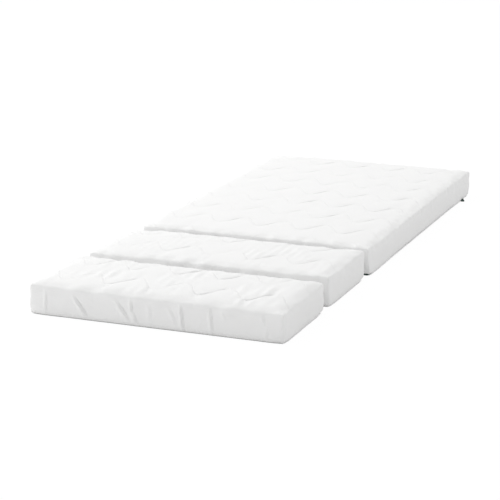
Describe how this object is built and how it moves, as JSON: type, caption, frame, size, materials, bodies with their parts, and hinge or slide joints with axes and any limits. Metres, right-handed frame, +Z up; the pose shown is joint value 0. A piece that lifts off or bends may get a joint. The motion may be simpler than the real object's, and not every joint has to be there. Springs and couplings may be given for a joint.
{
  "type": "foam mattress",
  "caption": "White quilted foam mattress for an extendable bed, in separate sections that lie end to end, each with a zipped cover over a foam core.",
  "frame": {"origin": "on the floor, under the middle of the main section's width and of the length of the row", "axes": "+X to the right across the bed, +Y along the bed towards the main section, +Z up"},
  "size_m": [0.8186, 2.0836, 0.1],
  "materials": {
    "quilted_cloth": "matt woven cotton and polyester, quilted",
    "wadding": "loose polyester fibre",
    "lining_cloth": "thin non-woven cloth",
    "foam": "open-cell polyurethane foam, cut",
    "base_cloth": "plain matt cloth",
    "zip_tape": "dark green woven tape",
    "zip_chain": "dark green nylon coil",
    "zip_metal": "dark green lacquer"
  },
  "bodies": {
    "main_section": {"main_foam_core": "foam", "main_lining": "lining_cloth", "main_wadding": "wadding", "main_quilted_cover": "quilted_cloth", "main_base_cloth": "base_cloth", "main_zip_upper_tape": "zip_tape", "main_zip_lower_tape": "zip_tape", "main_zip_teeth": "zip_chain", "main_zip_top_stop": "zip_metal", "main_zip_bottom_stop": "zip_metal"},
    "middle_section": {"middle_foam_core": "foam", "middle_lining": "lining_cloth", "middle_wadding": "wadding", "middle_quilted_cover": "quilted_cloth", "middle_base_cloth": "base_cloth", "middle_zip_upper_tape": "zip_tape", "middle_zip_lower_tape": "zip_tape", "middle_zip_teeth": "zip_chain", "middle_zip_top_stop": "zip_metal", "middle_zip_bottom_stop": "zip_metal"},
    "end_section": {"end_foam_core": "foam", "end_lining": "lining_cloth", "end_wadding": "wadding", "end_quilted_cover": "quilted_cloth", "end_base_cloth": "base_cloth", "end_zip_upper_tape": "zip_tape", "end_zip_lower_tape": "zip_tape", "end_zip_teeth": "zip_chain", "end_zip_top_stop": "zip_metal", "end_zip_bottom_stop": "zip_metal"},
    "main_zip_slider": {"main_zip_slider": "zip_metal"},
    "main_zip_pull": {"main_zip_pull": "zip_metal"},
    "middle_zip_slider": {"middle_zip_slider": "zip_metal"},
    "middle_zip_pull": {"middle_zip_pull": "zip_metal"},
    "end_zip_slider": {"end_zip_slider": "zip_metal"},
    "end_zip_pull": {"end_zip_pull": "zip_metal"}
  },
  "joints": [
    {"name": "middle_section_slide", "type": "slide", "parent": "main_section", "child": "middle_section", "axis": [0, 1, 0], "range_m": [-0.35, 0.033]},
    {"name": "end_section_slide", "type": "slide", "parent": "middle_section", "child": "end_section", "axis": [0, 1, 0], "range_m": [-0.35, 0.045]},
    {"name": "main_zip_slide", "type": "slide", "parent": "main_section", "child": "main_zip_slider", "axis": [0, -1, 0], "range_m": [0, 1.158]},
    {"name": "main_pull_swing", "type": "hinge", "parent": "main_zip_slider", "child": "main_zip_pull", "pos_m": [0.3942, 0.9478, 0.0067], "axis": [0, 0, -1], "range_deg": [-152, 8]},
    {"name": "middle_zip_slide", "type": "slide", "parent": "middle_section", "child": "middle_zip_slider", "axis": [1, 0, 0], "range_m": [0, 0.69]},
    {"name": "middle_pull_swing", "type": "hinge", "parent": "middle_zip_slider", "child": "middle_zip_pull", "pos_m": [-0.3448, -0.2998, 0.0067], "axis": [0, 0, -1], "range_deg": [0, 160]},
    {"name": "end_zip_slide", "type": "slide", "parent": "end_section", "child": "end_zip_slider", "axis": [1, 0, 0], "range_m": [0, 0.69]},
    {"name": "end_pull_swing", "type": "hinge", "parent": "end_zip_slider", "child": "end_zip_pull", "pos_m": [-0.3448, -0.6978, 0.0067], "axis": [0, 0, -1], "range_deg": [0, 160]}
  ]
}
